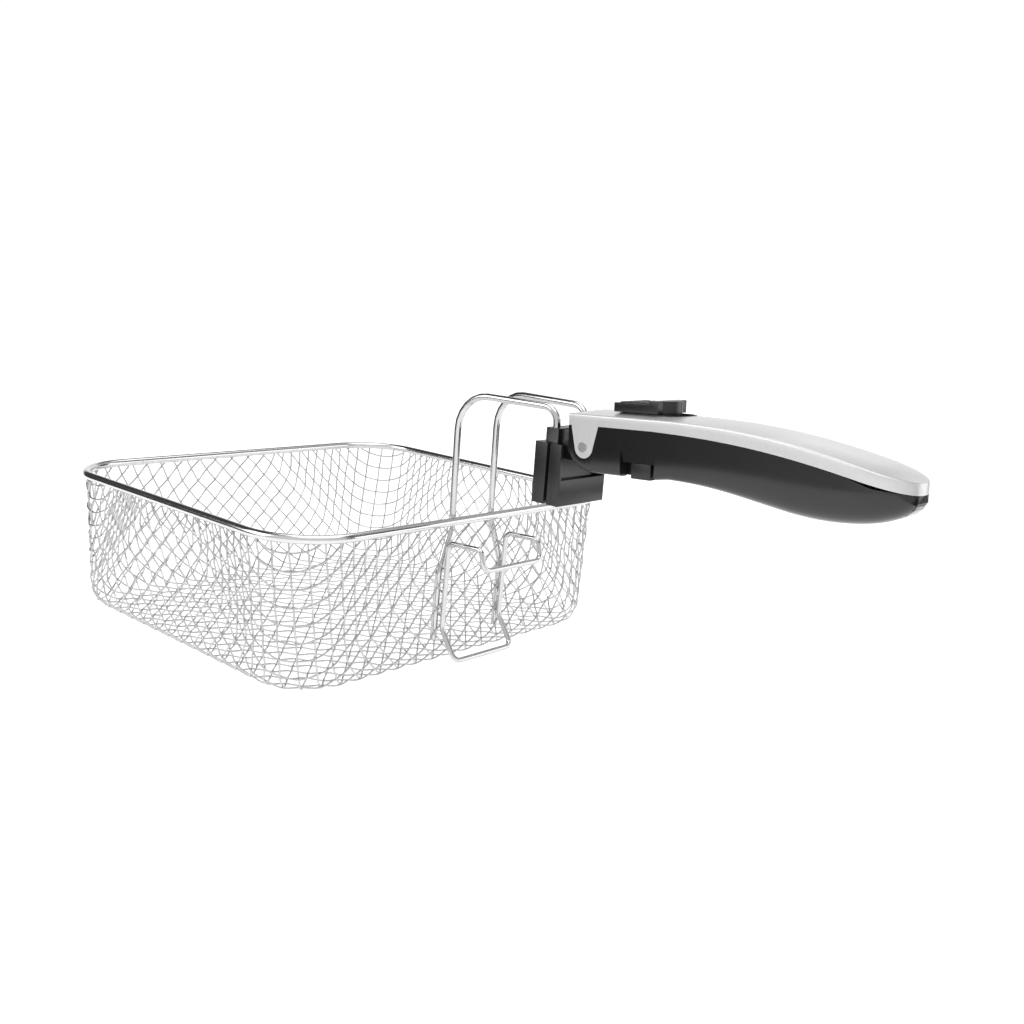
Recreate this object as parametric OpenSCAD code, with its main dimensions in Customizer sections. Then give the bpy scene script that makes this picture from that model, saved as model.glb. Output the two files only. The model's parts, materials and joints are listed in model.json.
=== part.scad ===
// Deep-fryer basket with a folding, locking handle.
// Frame: the origin is the middle of the basket's floor on the surface it rests on.
// +X points out of the basket along the handle, +Z is up, and the XZ plane is the plane of symmetry.

/* [Basket] */
// Length of the rim along the handle direction, wire centre to wire centre
basket_l = 210; // [170:1:270]
// Width of the rim across the handle direction, wire centre to wire centre
basket_w = 229; // [170:1:290]
// Height of the rim's centre above the resting surface
basket_h = 76; // [64:1:110]
// Radius of the rim's corners
corner_r = 34; // [28:1:50]
// How much further in the floor edge is than the rim, on each side
floor_inset = 2; // [0:0.5:5]
// Radius where the walls turn into the floor
floor_r = 12; // [8:1:16]
// Thickness of the woven mesh
mesh_t = 1; // [0.8:0.1:1.6]

/* [Wires] */
// Outer diameter of the rolled rim band
rim_d = 4.6; // [4:0.1:6]
// Diameter of the core wire inside the rim band
rim_core_d = 2.8; // [2:0.1:3.2]
// Diameter of the two support wires that carry the handle bracket
support_d = 3.5; // [3:0.1:4.5]
// Spacing of the support wires at the rim
support_gap = 28; // [24:1:34]
// Spacing of the support wires in the bracket
socket_gap = 21; // [18:1:23]
// Spacing of the support wires' lower ends, below the rim
support_splay = 45; // [36:1:60]
// Height of the support wires' horizontal run
support_top = 140; // [134:1:160]
// Bend radius of the support wires over the basket's rim
support_bend = 18; // [10:1:20]
// Bend radius of the support wires down into the bracket
socket_bend = 7.5; // [6:0.5:9]
// Diameter of the drain hook wire
hook_d = 2.8; // [2.4:0.1:3.5]
// Width of the drain hook, wire centre to wire centre
hook_w = 42; // [36:1:60]
// How far the drain hook stands out from the basket wall
hook_reach = 25; // [20:1:32]
// Height of the drain hook's arms
hook_z = 66; // [58:1:68]
// How far the hook's crossbar hangs below its arms
hook_drop = 9; // [7:1:14]
// Height of the rest loop's crossbar
rest_z = 6.5; // [4:0.5:9]
// How far the rest loop stands out from the basket wall
rest_reach = 9; // [6:1:14]

/* [Bracket] */
// Gap from the rim to the back of the bracket
bracket_gap = 49.5; // [44:0.5:70]
// Size of the bracket along the handle direction
bracket_l = 15.5; // [15:0.5:20]
// Width of the bracket
bracket_w = 34; // [33.5:0.5:40]
// Height of the bracket
bracket_h = 28.5; // [27:0.5:34]
// Width of the guide groove in each side of the bracket
groove_w = 1.8; // [1.4:0.1:2.4]
// Depth of the guide groove
groove_depth = 3.5; // [2:0.5:4]

/* [Hinge] */
// Distance from the bracket's front face to the hinge pin
pin_gap = 12; // [12:0.5:14]
// Height of the hinge pin above the bracket's top
pin_rise = 1; // [0:0.5:3]
// Diameter of the hinge pin
pin_d = 3.6; // [3:0.2:5]
// Width of the hinge lug
lug_w = 21.2; // [18:0.2:22]
// Radial clearance of the pin in its sleeve
pin_clearance = 0.05; // [0.02:0.01:0.1]

/* [Handle] */
// Width of the handle
handle_w = 33; // [32:0.5:38]
// Length of the handle from the hinge pin to its end
handle_l = 147; // [135:1:180]
// How far the handle points up from level when it is locked out
handle_pitch = 4; // [0:0.5:6]
// Wall thickness of the lower shell and of the cover
shell_t = 2; // [1.6:0.1:2.4]
// Travel of the latch button
latch_travel = 6; // [4:0.5:7]

/* [Hidden] */
$fn = 48;

steel = "silver";
black = [0.05, 0.05, 0.06];
silver_paint = [0.78, 0.78, 0.8];

wall_x = basket_l / 2;
wall_y = basket_w / 2;
big = 400;
wire_sides = 16;
bend_step = 15;

// ---- Wires -------------------------------------------------------------------------------------

function unit(v) = v / norm(v);
function turn_angle(u, v) = acos(max(-1, min(1, u * v)));

// Distance from a corner to where its bend starts.
function setback(a, b, c, r) = r * tan(turn_angle(unit(b - a), unit(c - b)) / 2);

// Points round the bend at corner b, of radius r. A straight corner gives the corner itself.
function bend_points(a, b, c, r) =
    let (
        u = unit(b - a),
        v = unit(c - b),
        angle = turn_angle(u, v),
        middle = b + unit(v - u) * r / cos(angle / 2),
        out = unit(b - u * setback(a, b, c, r) - middle),
        steps = max(2, ceil(angle / bend_step))
    )
    [for (i = [0:steps]) middle + r * (out * cos(angle * i / steps) + u * sin(angle * i / steps))];

// The centre line of a wire bent at its inner corners.
function wire_line(points, radii) = [
    points[0],
    for (i = [1:len(points) - 2])
        each bend_points(points[i - 1], points[i], points[i + 1], radii[i]),
    points[len(points) - 1]
];

function tangent(line, i) = unit(
    line[min(i + 1, len(line) - 1)] - line[max(i - 1, 0)]
);
function square_to(v, t) = unit(v - (v * t) * t);

// A round wire along a centre line. across is a direction that the wire doesn't start along.
module sweep(line, d, across, sides = wire_sides) {
    count = len(line);
    tangents = [for (i = [0:count - 1]) tangent(line, i)];
    normals = [
        for (i = 0, n = square_to(across, tangents[0]); i < count;
             i = i + 1, n = i < count ? square_to(n, tangents[i]) : n) n
    ];
    rings = [
        for (i = [0:count - 1], j = [0:sides - 1])
            let (side = cross(tangents[i], normals[i]), a = 360 * j / sides)
                line[i] + d / 2 * (normals[i] * cos(a) + side * sin(a))
    ];
    walls = [
        for (i = [0:count - 2], j = [0:sides - 1])
            let (k = (j + 1) % sides)
                [i * sides + k, i * sides + j, (i + 1) * sides + j, (i + 1) * sides + k]
    ];
    first_end = [for (j = [0:sides - 1]) j];
    last_end = [for (j = [sides - 1:-1:0]) (count - 1) * sides + j];
    polyhedron(rings, concat(walls, [first_end, last_end]));
}

module wire(points, radii, d) {
    sweep(wire_line(points, radii), d, [1, 1, 0.5]);
}

function mirror_y(points) = [for (p = points) [p[0], -p[1], p[2]]];

// ---- Basket ------------------------------------------------------------------------------------

mesh_top = basket_h - rim_core_d / 2 - 0.1;
wall_lean = atan(floor_inset / (basket_h - floor_r));

// Where the middle of the mesh wall is at height z, measured from the rim's centre line.
function wall_in(z) = floor_inset * (basket_h - z) / (basket_h - floor_r);

// Section of the filled basket, outside the corner's own centre line, shrunk by t on every face.
module basket_section(t, top) {
    out = corner_r + mesh_t / 2 - floor_inset;
    r = floor_r + mesh_t / 2;
    middle = [out - r, r];
    foot = middle + (r - t) * [cos(wall_lean), -sin(wall_lean)];
    rise = top - foot[1];
    intersection() {
        square([big, big]);
        union() {
            translate(middle)
                circle(r = r - t);
            polygon([
                [0, t],
                [middle[0], t],
                foot,
                [foot[0] + rise * tan(wall_lean), top],
                [0, top]
            ]);
        }
    }
}

module basket_wall_section() {
    difference() {
        basket_section(0, mesh_top);
        basket_section(mesh_t, mesh_top + 1);
    }
}

// Copies a section round the basket: four corners and four straight runs.
module round_basket(l, w) {
    straight_x = l - 2 * corner_r;
    straight_y = w - 2 * corner_r;
    for (i = [0:3]) {
        side = i % 2 == 0 ? [straight_x, straight_y] : [straight_y, straight_x];
        rotate(90 * i) {
            translate([side[0] / 2, side[1] / 2, 0])
                rotate_extrude(angle = 90)
                    children();
            translate([side[0] / 2, side[1] / 2, 0])
                rotate([90, 0, 0])
                    linear_extrude(side[1])
                        children();
        }
    }
}

module mesh_basket() {
    color(steel) {
        round_basket(basket_l, basket_w)
            basket_wall_section();
        translate([corner_r - wall_x, corner_r - wall_y, 0])
            cube([basket_l - 2 * corner_r, basket_w - 2 * corner_r, mesh_t]);
    }
}

module rim_wire() {
    color(steel)
        round_basket(basket_l, basket_w)
            translate([corner_r, basket_h])
                circle(d = rim_core_d);
}

// The band is a rolled strip, open along its underside where the mesh goes in.
module rim_band() {
    slot = mesh_t + 0.2;
    color(steel)
        round_basket(basket_l, basket_w)
            translate([corner_r, basket_h])
                difference() {
                    circle(d = rim_d);
                    circle(d = rim_core_d + 0.1);
                    translate([-slot / 2, -rim_d])
                        square([slot, rim_d]);
                }
}

// ---- Support wires and drain hook --------------------------------------------------------------

bracket_x = wall_x + bracket_gap;
front_x = bracket_x + bracket_l;
socket_in = 6.4;
socket_x = bracket_x + socket_in;
bracket_top = 124.5;
bracket_z = bracket_top - bracket_h;
riser_h = 6.5;
socket_z = bracket_z + 16;

splay_z = basket_h - 26;
support_end_z = 15;
support_x = wall_x - (rim_d + support_d) / 2;

// The inside face of the mesh wall at height z, less the wire's radius.
function inside_x(z, d) = wall_x - wall_in(z) - (mesh_t + d) / 2;
function outside_x(z, d) = wall_x - wall_in(z) + (mesh_t + d) / 2;

support_points = [
    [inside_x(support_end_z, support_d), support_splay / 2, support_end_z],
    [inside_x(splay_z, support_d), support_splay / 2, splay_z],
    [support_x, support_gap / 2, basket_h - rim_d / 2],
    [support_x, support_gap / 2, support_top],
    [socket_x, socket_gap / 2, support_top],
    [socket_x, socket_gap / 2, socket_z]
];
support_radii = [0, 8, 8, support_bend, socket_bend, 0];

module support_wire_left() {
    color(steel)
        wire(mirror_y(support_points), support_radii, support_d);
}

module support_wire_right() {
    color(steel)
        wire(support_points, support_radii, support_d);
}

rest_start_z = 21;
hook_x = outside_x(hook_z, hook_d);
hook_half = [
    [hook_x, hook_w / 2, hook_z],
    [hook_x + hook_reach - hook_d, hook_w / 2, hook_z + 1],
    [hook_x + hook_reach, hook_w / 2, hook_z - hook_drop]
];
rest_half = [
    [hook_x + rest_reach, hook_w / 2, rest_z],
    [outside_x(rest_start_z, hook_d), hook_w / 2, rest_start_z]
];
butt_gap = 0.1;
hook_side = concat(
    [[hook_x + rest_reach, butt_gap / 2, rest_z]],
    rest_half,
    hook_half
);
hook_points = concat(hook_side, mirror_y(reversed(hook_side)));
hook_radii = [0, 4, 8, 4, 3, 4, 4, 3, 4, 8, 4, 0];

// One wire whose ends are butt-welded in the middle of the rest loop.
module drain_hook_wire() {
    color(steel)
        wire(hook_points, hook_radii, hook_d);
}

// Resistance-weld nuggets where the wires cross the rim and clamp the mesh.
weld_d = 2.4;
rim_weld_d = rim_d - rim_core_d - 0.2;
hook_weld_z = [32, 46];
module weld_spots() {
    color(steel)
        for (side = [-1, 1]) {
            translate([wall_x - rim_d / 2, side * support_gap / 2, basket_h])
                sphere(d = rim_weld_d);
            for (z = hook_weld_z)
                translate([wall_x - wall_in(z), side * (hook_w + support_splay) / 4, z])
                    sphere(d = weld_d);
        }
}

// ---- Bracket -----------------------------------------------------------------------------------

pin_x = front_x + pin_gap;
pin_z = bracket_top + pin_rise;
lug_r = 9;
sleeve_d = pin_d + 2.6;
pocket_z = bracket_z + 12;
pocket_depth = 4.5;
clamp_screw_d = 3;
clamp_screw_z = bracket_top - 6;
pocket_wall = 1.6;
groove_in = 7.1;
riser_l = support_d + 3.7;
riser_w = socket_gap + support_d + 2;

module bracket_block() {
    pocket_w = bracket_w - 2 * pocket_wall;
    color(black)
        difference() {
            union() {
                difference() {
                    translate([bracket_x, -bracket_w / 2, bracket_z])
                        cube([bracket_l, bracket_w, bracket_h]);
                    translate([front_x - pocket_depth, -pocket_w / 2, pocket_z])
                        cube([big, pocket_w, big]);
                }
                translate([socket_x - riser_l / 2, -riser_w / 2, bracket_top])
                    cube([riser_l, riser_w, riser_h]);
                translate([0, lug_w / 2, 0])
                    rotate([90, 0, 0])
                        linear_extrude(lug_w)
                            lug_outline();
            }
            for (side = [-1, 1]) {
                translate([socket_x, side * socket_gap / 2, socket_z])
                    cylinder(h = big, d = support_d);
                translate([bracket_x - 1, side * socket_gap / 2, clamp_screw_z])
                    rotate([0, 90, 0])
                        cylinder(h = socket_x - bracket_x + 1, d = clamp_screw_d);
                translate([bracket_x + groove_in, side * bracket_w / 2 - groove_depth, 0])
                    cube([groove_w, 2 * groove_depth, big]);
            }
            translate([pin_x, 0, pin_z])
                rotate([90, 0, 0])
                    cylinder(h = big, d = sleeve_d, center = true);
        }
}

// Side view of the lug: a round eye on a straight web.
module lug_outline() {
    root = pocket_depth + 1;
    shoulder_drop = 4;
    translate([pin_x, pin_z])
        circle(r = lug_r);
    translate([front_x - root, pin_z - lug_r + 1])
        square([pin_gap + root, 2 * lug_r - 1 - shoulder_drop]);
}

module wire_clamp_screws() {
    color(steel)
        for (side = [-1, 1])
            translate([bracket_x + 0.4, side * socket_gap / 2, clamp_screw_z])
                rotate([0, 90, 0])
                    difference() {
                        cylinder(h = socket_x - support_d / 2 - bracket_x - 0.4, d = clamp_screw_d);
                        translate([0, 0, -0.5])
                            cylinder(h = 1.7, d = 1.6, $fn = 6);
                    }
}

module hinge_sleeve() {
    color(steel)
        translate([pin_x, 0, pin_z])
            rotate([90, 0, 0])
                difference() {
                    cylinder(h = lug_w, d = sleeve_d, center = true);
                    cylinder(h = lug_w + 2, d = pin_d + 2 * pin_clearance, center = true);
                }
}

// ---- Handle outlines, measured from the hinge pin along the handle -------------------------------

module in_handle() {
    translate([pin_x, 0, pin_z])
        rotate([0, -handle_pitch, 0])
            children();
}

function bezier(p, t) = pow(1 - t, 3) * p[0] + 3 * t * pow(1 - t, 2) * p[1]
    + 3 * t * t * (1 - t) * p[2] + pow(t, 3) * p[3];
function curve(p, steps = 10) = [for (i = [0:steps]) bezier(p, i / steps)];
function raised(points, dz) = [for (p = points) [p[0], p[1] + dz]];

grip = handle_l / 147;
nose_r = 9.5;
nose_x = -9.4;
neck_x = 34;
belly_x = 116 * grip;
parting_z = 9.6;
top_z = 14.6;
crown = 1.5;
belly_z = -19.8;
under_z = -11;
heel_z = -10.2;
under_x = 44 * grip;

parting_curve = curve([
    [neck_x, parting_z], [72 * grip, parting_z - 1], [100 * grip, 5.7], [handle_l, -6.5]
]);
top_curve = curve([
    [neck_x, top_z], [75 * grip, top_z], [105 * grip, 11], [handle_l, -2]
]);
under_curve = curve([
    [under_x, heel_z], [75 * grip, heel_z - 0.6], [92 * grip, belly_z], [belly_x, belly_z]
]);
end_curve = curve([
    [belly_x, belly_z], [135 * grip, belly_z], [handle_l, -15], [handle_l, -6.5]
], 8);

function reversed(points) = [for (i = [len(points) - 1:-1:0]) points[i]];

// Plan view of the handle, shrunk by t. The rear end is rounded.
module handle_plan(t) {
    end_r = handle_w / 2 - 0.5;
    x = handle_l - end_r;
    y = handle_w / 2 - end_r;
    translate([-20, t - handle_w / 2])
        square([20 + x, handle_w - 2 * t]);
    translate([x - 1, -y])
        square([end_r - t + 1, 2 * y]);
    for (side = [-1, 1])
        translate([x, side * y])
            circle(r = end_r - t);
}

// Extrudes a side view across the handle and trims it to the plan.
module handle_solid(t) {
    intersection() {
        rotate([90, 0, 0])
            linear_extrude(handle_w, center = true)
                children();
        translate([0, 0, -big / 2])
            linear_extrude(big)
                handle_plan(t);
    }
}

// Side view of the lower shell, with its underside raised by t.
module lower_outline(t) {
    polygon(concat(
        [[0, parting_z]],
        parting_curve,
        reversed(raised(end_curve, t)),
        reversed(raised(under_curve, t)),
        [[catch_back, under_z + t], [0, under_z + t]]
    ));
}

module ear_outline() {
    ear_r = 5;
    circle(r = ear_r);
    polygon([[-7.1, parting_z], [7.8, parting_z], [ear_r - 0.3, -1.5], [-ear_r, 0]]);
}

cheek_in = lug_w / 2 + 0.7;
slot_end = 25;
ear_t = 1.6;
cover_screw_x = [72, 100, 128];
screw_d = 3;
screw_boss_d = 7;
head_d = 5.6;
head_z = [-9.6, -14.8, -15.4];

module handle_lower_shell() {
    color(black)
        in_handle()
            difference() {
                union() {
                    handle_solid(0)
                        lower_outline(0);
                    rotate([90, 0, 0])
                        cylinder(h = handle_w, r = nose_r, center = true);
                    translate([nose_x, -handle_w / 2, 0])
                        cube([-nose_x, handle_w, parting_z]);
                }
                difference() {
                    handle_solid(shell_t)
                        intersection() {
                            union() {
                                lower_outline(shell_t);
                                translate([slot_end, under_z + shell_t])
                                    square([neck_x - slot_end, big]);
                            }
                            translate([slot_end, -big])
                                square([handle_l - slot_end - shell_t, 2 * big]);
                        }
                    for (i = [0:len(cover_screw_x) - 1])
                        translate([cover_screw_x[i] * grip, 0, -big])
                            cylinder(h = 2 * big, d = screw_boss_d);
                }
                translate([-20, -cheek_in, -20])
                    cube([20 + slot_end, 2 * cheek_in, 60]);
                for (side = [-1, 1])
                    translate([0, side * (handle_w / 2 - ear_t / 2), 0])
                        rotate([90, 0, 0])
                            linear_extrude(ear_t, center = true)
                                ear_outline();
                rotate([90, 0, 0])
                    cylinder(h = big, d = pin_d, center = true);
                catch_pocket();
                for (i = [0:len(cover_screw_x) - 1])
                    translate([cover_screw_x[i] * grip, 0, 0]) {
                        translate([0, 0, head_z[i] - big])
                            cylinder(h = big, d = head_d);
                        translate([0, 0, -big / 2])
                            cylinder(h = big, d = screw_d);
                    }
                translate([handle_l - rear_clip_l, -rear_clip_w / 2, -big / 2])
                    cube([big, rear_clip_w, big]);
            }
}

// Side view of the cover: a band above the parting line, and a raised middle.
module cover_outline(lift, t) {
    polygon(concat(
        [[nose_x + t, parting_z]],
        parting_curve,
        reversed(raised(top_curve, lift)),
        [[nose_x + t, top_z + lift]]
    ));
}

slot_x = 14;
slot_back = 46.2;
slot_w = 19;

// Plan of the button's opening, with a round rear end.
module slot_plan(t) {
    r = slot_w / 2;
    translate([slot_x + t, t - r])
        square([slot_back - r - slot_x - t, 2 * (r - t)]);
    translate([slot_back - r, 0])
        circle(r = r - t);
}

module handle_cover() {
    crown_w = handle_w - 8;
    color(silver_paint)
        in_handle()
            difference() {
                union() {
                    handle_solid(0)
                        cover_outline(0, 0);
                    intersection() {
                        handle_solid(1.5)
                            cover_outline(crown, 1.5);
                        cube([big, crown_w, big], center = true);
                    }
                    for (side = [-1, 1])
                        translate([0, side * (handle_w / 2 - ear_t / 2), 0])
                            rotate([90, 0, 0])
                                linear_extrude(ear_t, center = true)
                                    ear_outline();
                }
                difference() {
                    handle_solid(shell_t)
                        polygon(concat(
                            [[nose_x + shell_t, -big]],
                            [[handle_l - shell_t, -big]],
                            reversed(raised(top_curve, -shell_t)),
                            [[nose_x + shell_t, top_z - shell_t]]
                        ));
                    for (side = [-1, 1])
                        translate([0, side * (handle_w / 2), 0])
                            cube([30, 2 * ear_t, 2 * parting_z], center = true);
                    for (x = cover_screw_x)
                        translate([x * grip, 0, 0])
                            intersection() {
                                cylinder(h = big, d = screw_boss_d, center = true);
                                translate([-x * grip, 0, 0])
                                    rotate([90, 0, 0])
                                        linear_extrude(big, center = true)
                                            cover_outline(0, 0);
                            }
                }
                for (x = cover_screw_x)
                    translate([x * grip, 0, -big])
                        cylinder(h = big + screw_tip(x), d = screw_d);
                rotate([90, 0, 0])
                    cylinder(h = big, d = pin_d, center = true);
                linear_extrude(big)
                    slot_plan(0);
            }
}

// Height of the parting line at x, from the two nearest points of its curve.
function parting_at(x) = lookup(x, concat([[0, parting_z]], parting_curve));
function screw_tip(x) = parting_at(x * grip) + 3;

module hinge_pin() {
    head_h = 1;
    head_wider = 1;
    color(steel)
        in_handle()
            rotate([90, 0, 0]) {
                cylinder(h = handle_w, d = pin_d, center = true);
                for (side = [-1, 1])
                    translate([0, 0, side * (handle_w + head_h) / 2])
                        cylinder(h = head_h, d = pin_d + head_wider, center = true);
            }
}

module hinge_washers() {
    washer_t = 0.5;
    color(steel)
        in_handle()
            for (side = [-1, 1])
                translate([0, side * (cheek_in - washer_t / 2), 0])
                    rotate([90, 0, 0])
                        difference() {
                            cylinder(h = washer_t, d = pin_d + 6, center = true);
                            cylinder(h = washer_t + 1, d = pin_d, center = true);
                        }
}

// ---- Latch parts carried by the handle -----------------------------------------------------------

play = 0.3;

// Height of the lower shell's inner floor at x, behind the catch.
function floor_at(x) = lookup(x, concat([[catch_back, under_z]], under_curve)) + shell_t + 0.05;

bolt_w = 12;
bolt_z = 8.6;
bolt_h = 3.6;
bolt_front = 5;
bolt_back = 40;
neck_w = 9;
neck_front = 17;
neck_l = 10;
tray_z = bolt_z + bolt_h + play;
tray_t = 0.9;
cover_top = top_z + crown;

module button_slot_liner() {
    color(black)
        in_handle()
            difference() {
                translate([0, 0, tray_z])
                    linear_extrude(cover_top - tray_z)
                        slot_plan(0.05);
                translate([0, 0, tray_z + tray_t])
                    linear_extrude(big)
                        slot_plan(1);
                translate([neck_front - play, -neck_w / 2 - play, 0])
                    cube([neck_l + latch_travel + 2 * play, neck_w + 2 * play, big]);
            }
}

guide_front = 26.5;
guide_back = 50;
guide_base = 6;
guide_foot = 5;

// A channel under the bolt, on a foot that stands on the shell's floor.
module bolt_guide() {
    wall = 2;
    outer_w = bolt_w + 2 * (wall + play);
    foot_z = max(floor_at(guide_back - guide_foot), floor_at(guide_back));
    joined = 1;
    color(black)
        in_handle()
            difference() {
                union() {
                    translate([guide_front, -outer_w / 2, guide_base])
                        cube([guide_back - guide_front, outer_w, bolt_z + bolt_h - guide_base]);
                    translate([guide_back - guide_foot, -outer_w / 2, foot_z])
                        cube([guide_foot, outer_w, guide_base + joined - foot_z]);
                }
                translate([guide_front - 1, -bolt_w / 2 - play, bolt_z - play])
                    cube([guide_back, bolt_w + 2 * play, big]);
            }
}

seat_x = 57;
seat_t = 3;
spring_d = 3.2;
spring_wire = 0.6;
spring_z = bolt_z + spring_d / 2;

// A wall that stands on the shell's floor, with a peg for the spring.
module spring_seat() {
    seat_w = 14;
    peg_l = 2.5;
    foot_z = floor_at(seat_x);
    color(black)
        in_handle() {
            translate([seat_x, -seat_w / 2, foot_z])
                cube([seat_t, seat_w, spring_z + 1 - foot_z]);
            translate([seat_x - peg_l, 0, spring_z])
                rotate([0, 90, 0])
                    cylinder(h = peg_l + 1, d = spring_d - 2 * spring_wire - 2 * play);
        }
}

module stiffening_rib() {
    rib_w = 2;
    color(black)
        in_handle()
            difference() {
                rotate([90, 0, 0])
                    linear_extrude(rib_w, center = true)
                        difference() {
                            lower_outline(shell_t);
                            translate([-big, -big])
                                square([big + cover_screw_x[0] * grip, 2 * big]);
                            translate([handle_l - rear_clip_l - 4, -big])
                                square([big, 2 * big]);
                        }
                for (x = cover_screw_x)
                    translate([x * grip, 0, -big / 2])
                        cylinder(h = big, d = screw_boss_d + 0.4);
            }
}

module handle_screws() {
    color(steel)
        in_handle()
            for (i = [0:len(cover_screw_x) - 1])
                translate([cover_screw_x[i] * grip, 0, head_z[i]])
                    difference() {
                        union() {
                            translate([0, 0, -2])
                                cylinder(h = 2, d = head_d);
                            cylinder(h = screw_tip(cover_screw_x[i]) - head_z[i], d = screw_d);
                        }
                        for (turn = [0, 90])
                            rotate(turn)
                                translate([0, 0, -2])
                                    cube([3, 0.7, 2], center = true);
                    }
}

catch_x = 25.5;
catch_l = 10.2;
catch_w = 31;
catch_top = -4.5;
catch_reach = 0.5;
catch_back = 38;
catch_tail = 6;
catch_core_x = 19.7;
catch_core_rise = 0.3;

// Cut across the shell for the catch, with a narrow relief that runs up each side.
module catch_pocket() {
    rotate([90, 0, 0])
        linear_extrude(big, center = true)
            polygon([
                [20.8, -big],
                [19.3, -6],
                [20.1, 0.5],
                [22, catch_top],
                [catch_back, catch_top],
                [catch_back, -big]
            ]);
}

// Block that rests against the bracket when the handle is folded down.
// Its core fills the gap between the cheeks ahead of it, and its tail lies on the shell's floor.
module folding_catch() {
    tail_w = catch_w - 6;
    core_w = 2 * cheek_in - 1;
    core_z = under_z + catch_core_rise;
    color(black)
        in_handle() {
            translate([catch_x, -catch_w / 2, under_z - catch_reach])
                cube([catch_l, catch_w, catch_top - under_z + catch_reach]);
            translate([catch_core_x, -core_w / 2, core_z])
                cube([catch_x - catch_core_x + 1, core_w, catch_top - core_z]);
            translate([catch_x + catch_l - 1, -tail_w / 2, floor_at(catch_back + catch_tail)])
                cube([catch_back + catch_tail - catch_x - catch_l + 1, tail_w, 2]);
        }
}

rear_clip_l = 5;
rear_clip_w = 9;

module rear_clip() {
    color(black)
        in_handle()
            intersection() {
                handle_solid(0)
                    lower_outline(0);
                translate([handle_l - rear_clip_l, -rear_clip_w / 2, -big / 2])
                    cube([rear_clip_l, rear_clip_w, big]);
            }
}

// ---- Latch that slides in the handle ---------------------------------------------------------------

cap_front = 12;
cap_l = 23;
cap_w = 22;
cap_z = cover_top + play;
cap_h = 4;
stop_h = 1.5;
stop_l = 4.5;
tongue_end = slot_back - latch_travel - 1.4;
grip_inset = 1.5;
grip_h = 0.8;
pad_l = cap_l - grip_inset - stop_l;
pad_w = cap_w - 2 * grip_inset;
tongue_z = tray_z + tray_t + play;
tongue_w = 16;

// The button: a block with a thumb stop, a round tongue behind it, and a neck down to the bolt.
module button_cap() {
    tongue_h = cap_z + cap_h + stop_h - tongue_z;
    color(black)
        in_handle()
            difference() {
                union() {
                    translate([cap_front, -cap_w / 2, cap_z])
                        cube([cap_l, cap_w, cap_h]);
                    translate([cap_front + cap_l - stop_l, -cap_w / 2, cap_z])
                        cube([stop_l, cap_w, cap_h + stop_h]);
                    translate([neck_front - 2, -tongue_w / 2, tongue_z])
                        cube([neck_l, tongue_w, cap_z + 1 - tongue_z]);
                    translate([tongue_end - tongue_w / 2, 0, tongue_z])
                        cylinder(h = tongue_h, d = tongue_w);
                    translate([neck_front, -neck_w / 2, bolt_z + bolt_h])
                        cube([neck_l, neck_w, tongue_z + 1 - bolt_z - bolt_h]);
                }
                translate([cap_front + grip_inset, -pad_w / 2, cap_z + cap_h - grip_h])
                    cube([pad_l, pad_w, big]);
                translate([neck_front + neck_l / 2, 0, 0])
                    cylinder(h = cap_z, d = screw_d);
            }
}

// Ribbed pad let into the top of the button.
module button_grip() {
    ribs = 4;
    rib_h = 0.5;
    pitch = pad_l / ribs;
    color(black)
        in_handle()
            translate([cap_front + grip_inset, -pad_w / 2, cap_z + cap_h - grip_h]) {
                cube([pad_l, pad_w, grip_h]);
                for (i = [0:ribs - 1])
                    translate([pitch * (i + 0.2), 0, grip_h])
                        cube([pitch * 0.6, pad_w, rib_h]);
            }
}

screw_head_h = 1.4;

module latch_bolt() {
    color(steel)
        in_handle()
            difference() {
                translate([bolt_front, -bolt_w / 2, bolt_z])
                    cube([bolt_back - bolt_front, bolt_w, bolt_h]);
                translate([neck_front + neck_l / 2, 0, 0]) {
                    cylinder(h = big, d = screw_d);
                    cylinder(h = bolt_z + screw_head_h, d = head_d);
                }
            }
}

// Holds the button to the bolt, with its head sunk in the bolt's underside.
module button_screw() {
    color(steel)
        in_handle()
            translate([neck_front + neck_l / 2, 0, bolt_z]) {
                cylinder(h = cap_z - bolt_z, d = screw_d);
                cylinder(h = screw_head_h, d = head_d);
            }
}

// Compression spring between the back of the bolt and its seat.
module latch_spring() {
    turns = 7;
    steps = 12;
    r = (spring_d - spring_wire) / 2;
    start = bolt_back + spring_wire / 2;
    seat_gap = 0.1;
    length = seat_x - spring_wire - seat_gap - bolt_back;
    line = [
        for (i = [0:turns * steps])
            [
                start + length * i / (turns * steps),
                r * cos(360 * i / steps),
                spring_z + r * sin(360 * i / steps)
            ]
    ];
    color(steel)
        in_handle()
            sweep(line, spring_wire, [1, 0, 0], 6);
}

// ---- Nodes -----------------------------------------------------------------------------------------

mesh_basket();
rim_wire();
rim_band();
support_wire_left();
support_wire_right();
drain_hook_wire();
weld_spots();
bracket_block();
wire_clamp_screws();
hinge_sleeve();
handle_cover();
handle_lower_shell();
hinge_pin();
hinge_washers();
button_slot_liner();
bolt_guide();
spring_seat();
stiffening_rib();
handle_screws();
folding_catch();
rear_clip();
button_cap();
button_grip();
latch_bolt();
button_screw();
latch_spring();
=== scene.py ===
"""Looks of a deep-fryer basket with a folding handle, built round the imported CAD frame."""

import json
import math

import bmesh
import bpy
import numpy as np
from mathutils import Matrix, Vector


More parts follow.
